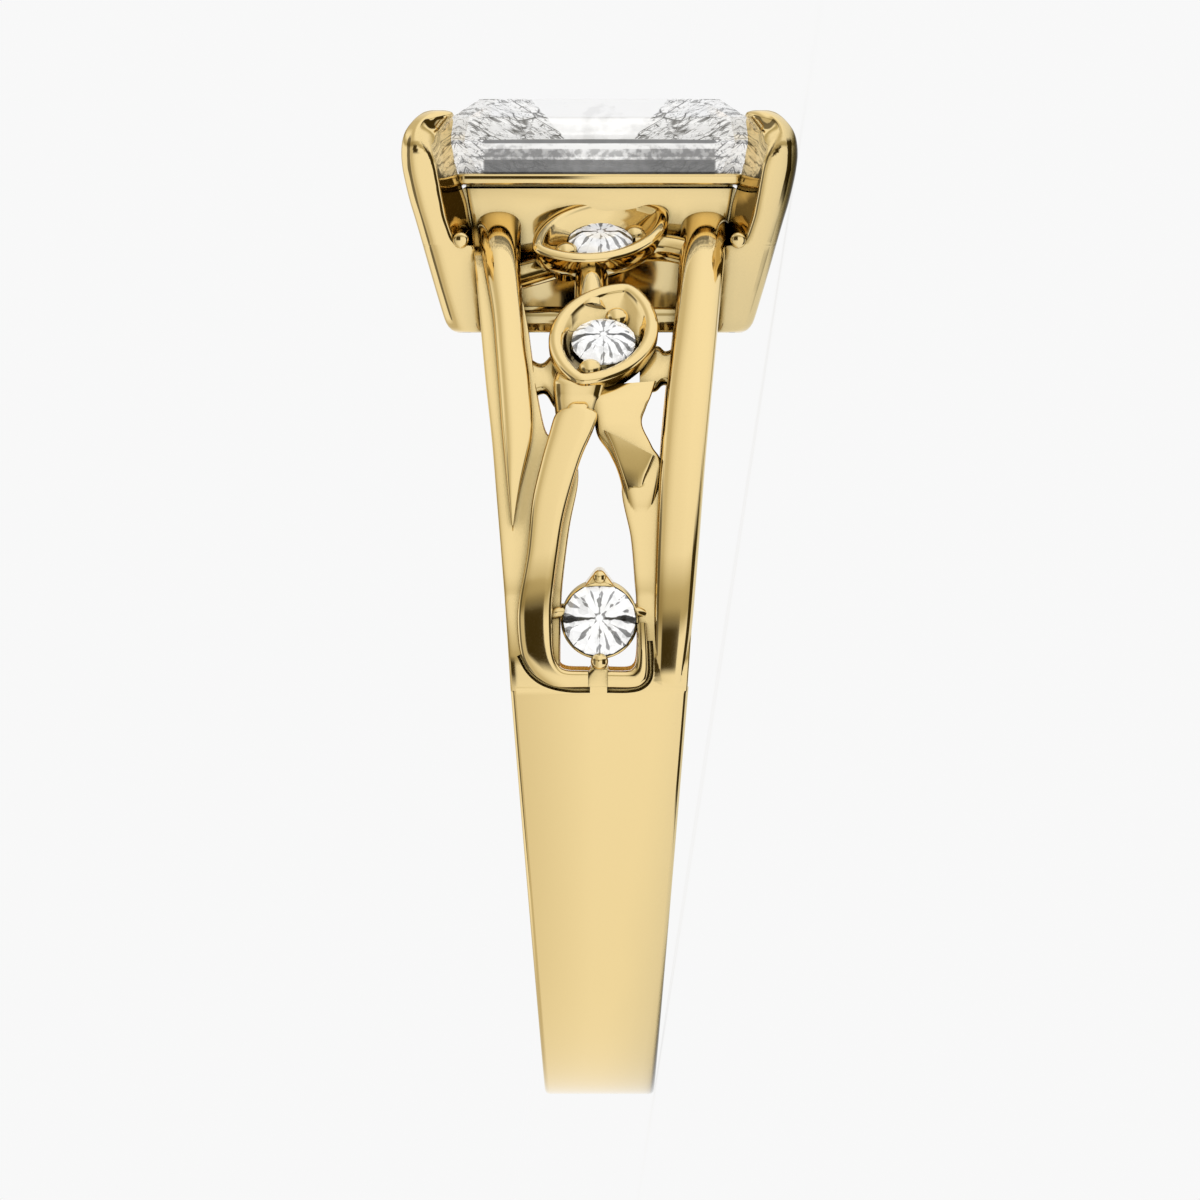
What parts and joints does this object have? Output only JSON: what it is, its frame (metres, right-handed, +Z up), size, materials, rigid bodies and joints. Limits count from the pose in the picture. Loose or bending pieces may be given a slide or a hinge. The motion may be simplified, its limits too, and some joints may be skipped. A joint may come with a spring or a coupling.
{
  "type": "finger ring",
  "caption": "Gold finger ring, lying on its side: tapering band that splits into two rails, leaf bezels with round stones between them, and a square stone in a four-claw head.",
  "frame": {"origin": "on the surface that the ring lies on, under the middle of its bounding box", "axes": "+Z up from that surface; +X from the bottom of the band towards the centre stone; the finger hole's axis leans 8.7 degrees from Z, because the head is wider than the band"},
  "size_m": [0.0254, 0.0216, 0.0099],
  "materials": {
    "gold": "polished yellow gold",
    "clear_stone": "cut and polished, colourless"
  },
  "bodies": {
    "root": {"mount": "gold", "centre_stone": "clear_stone", "front_upper_leaf_stone": "clear_stone", "back_upper_leaf_stone": "clear_stone", "front_lower_leaf_stone": "clear_stone", "back_lower_leaf_stone": "clear_stone", "front_shoulder_stone": "clear_stone", "back_shoulder_stone": "clear_stone"}
  },
  "joints": []
}
